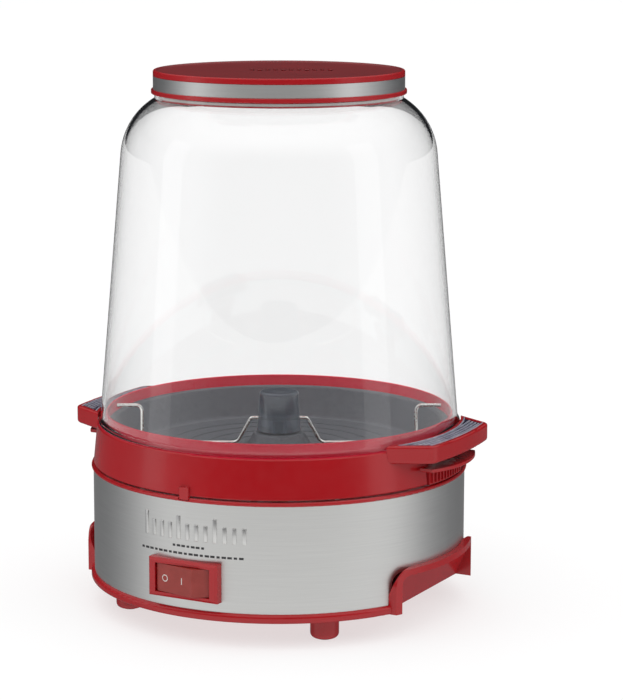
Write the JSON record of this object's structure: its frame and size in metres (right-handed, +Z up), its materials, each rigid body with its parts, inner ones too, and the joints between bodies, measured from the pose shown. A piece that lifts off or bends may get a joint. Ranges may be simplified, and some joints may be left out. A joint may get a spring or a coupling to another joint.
{
  "type": "stirring popcorn maker",
  "caption": "Table-top popcorn maker: clear upturned bowl with a lid on a red ring with two handles, over a heated plate with a wire stirrer and a brushed steel drum base.",
  "frame": {"origin": "on the table under the middle of the base", "axes": "+Z up, the switch faces -Y, the handles point along +X and -X"},
  "size_m": [0.2858, 0.2729, 0.3683],
  "materials": {
    "red_plastic": "gloss moulded red",
    "brushed_steel_sheet": "horizontally brushed",
    "bright_steel": "bright drawn",
    "zinc_sheet": "zinc-coated sheet",
    "cast_aluminium": "cast and turned",
    "element_sheath": "dark heat-tinted sheath",
    "nonstick_plate": "dark grey non-stick coating",
    "bearing_bronze": "sintered bronze",
    "gear_nylon": "natural nylon",
    "black_plastic": "satin black",
    "rocker_plastic": "gloss moulded red",
    "rubber_pad": "matt",
    "silicone": "translucent grey",
    "clear_bowl": "clear gloss moulded",
    "smoked_plastic": "smoked translucent",
    "smoked_insert": "smoked translucent, ribbed"
  },
  "bodies": {
    "root": {"base_housing": "red_plastic", "steel_band": "brushed_steel_sheet", "upper_trim_ring": "red_plastic", "bottom_cover": "red_plastic", "base_screws": "bright_steel", "cord_gland": "black_plastic", "gland_nut": "black_plastic", "switch_bezel": "red_plastic", "rocker_pin": "bright_steel", "switch_body": "black_plastic", "motor_case": "zinc_sheet", "gear_bracket": "zinc_sheet", "motor_screws": "bright_steel", "lower_bearing": "bearing_bronze", "upper_bearing": "bearing_bronze", "heat_shield": "zinc_sheet", "heater_plate": "cast_aluminium", "heating_element": "element_sheath", "heater_posts": "bright_steel", "heater_springs": "bright_steel", "thermostat": "black_plastic", "thermal_fuse": "cast_aluminium", "terminal_block": "black_plastic", "foot_front_left": "red_plastic", "foot_front_right": "red_plastic", "foot_rear_left": "red_plastic", "foot_rear_right": "red_plastic", "foot_pads": "rubber_pad", "hand_grip_left": "red_plastic", "hand_grip_right": "red_plastic"},
    "rocker": {"rocker": "rocker_plastic"},
    "drive": {"drive_gear": "gear_nylon", "drive_shaft": "bright_steel", "drive_coupling": "gear_nylon"},
    "motor_rotor": {"motor_pinion": "gear_nylon"},
    "tray": {"bowl_ring": "red_plastic", "popping_plate": "nonstick_plate", "plate_bush": "bearing_bronze", "handle_left": "red_plastic", "handle_right": "red_plastic", "handle_insert_left": "smoked_insert", "handle_insert_right": "smoked_insert", "handle_screws": "bright_steel", "lever_pin_left": "bright_steel", "lever_pin_right": "bright_steel", "lever_spring_left": "bright_steel", "lever_spring_right": "bright_steel"},
    "lever_left": {"release_lever_left": "red_plastic"},
    "lever_right": {"release_lever_right": "red_plastic"},
    "spindle": {"stirrer_spindle": "bright_steel"},
    "stirrer": {"stirrer_knob": "smoked_plastic", "stirring_rods": "bright_steel"},
    "bowl": {"popping_bowl": "clear_bowl"},
    "lid": {"lid_base": "red_plastic", "lid_gasket": "silicone", "lid_band": "brushed_steel_sheet", "lid_cap": "red_plastic", "lid_screws": "bright_steel"}
  },
  "joints": [
    {"name": "switch_rock", "type": "hinge", "parent": "root", "child": "rocker", "pos_m": [0, -0.1285, 0.043], "axis": [0, 0, 1], "range_deg": [0, 14]},
    {"name": "drive_spin", "type": "hinge", "parent": "root", "child": "drive", "pos_m": [0, 0, 0.05], "axis": [0, 0, 1], "continuous": true},
    {"name": "motor_spin", "type": "hinge", "parent": "root", "child": "motor_rotor", "pos_m": [0, 0.03, 0.05], "axis": [0, 0, 1], "continuous": true},
    {"name": "tray_lift", "type": "slide", "parent": "root", "child": "tray", "axis": [0, 0, 1], "range_m": [0, 0.06]},
    {"name": "lever_left_pull", "type": "hinge", "parent": "tray", "child": "lever_left", "pos_m": [-0.121, 0, 0.1137], "axis": [0, 1, 0], "range_deg": [0, 15], "stiffness_Nm_per_rad": 0.1, "springref_deg": -5.73},
    {"name": "lever_right_pull", "type": "hinge", "parent": "tray", "child": "lever_right", "pos_m": [0.121, 0, 0.1137], "axis": [0, -1, 0], "range_deg": [0, 15], "stiffness_Nm_per_rad": 0.1, "springref_deg": -5.73},
    {"name": "stirrer_spin", "type": "hinge", "parent": "tray", "child": "spindle", "pos_m": [0, 0, 0.11], "axis": [0, 0, 1], "continuous": true},
    {"name": "stirrer_lift", "type": "slide", "parent": "spindle", "child": "stirrer", "axis": [0, 0, 1], "range_m": [0, 0.03]},
    {"name": "bowl_lift", "type": "slide", "parent": "tray", "child": "bowl", "axis": [0, 0, 1], "range_m": [0, 0.1]},
    {"name": "lid_lift", "type": "slide", "parent": "bowl", "child": "lid", "axis": [0, 0, 1], "range_m": [0, 0.05]}
  ],
  "couplings": [
    {"joint": "motor_spin", "follows": "drive_spin", "ratio": -4},
    {"joint": "stirrer_spin", "follows": "drive_spin", "ratio": 1}
  ]
}
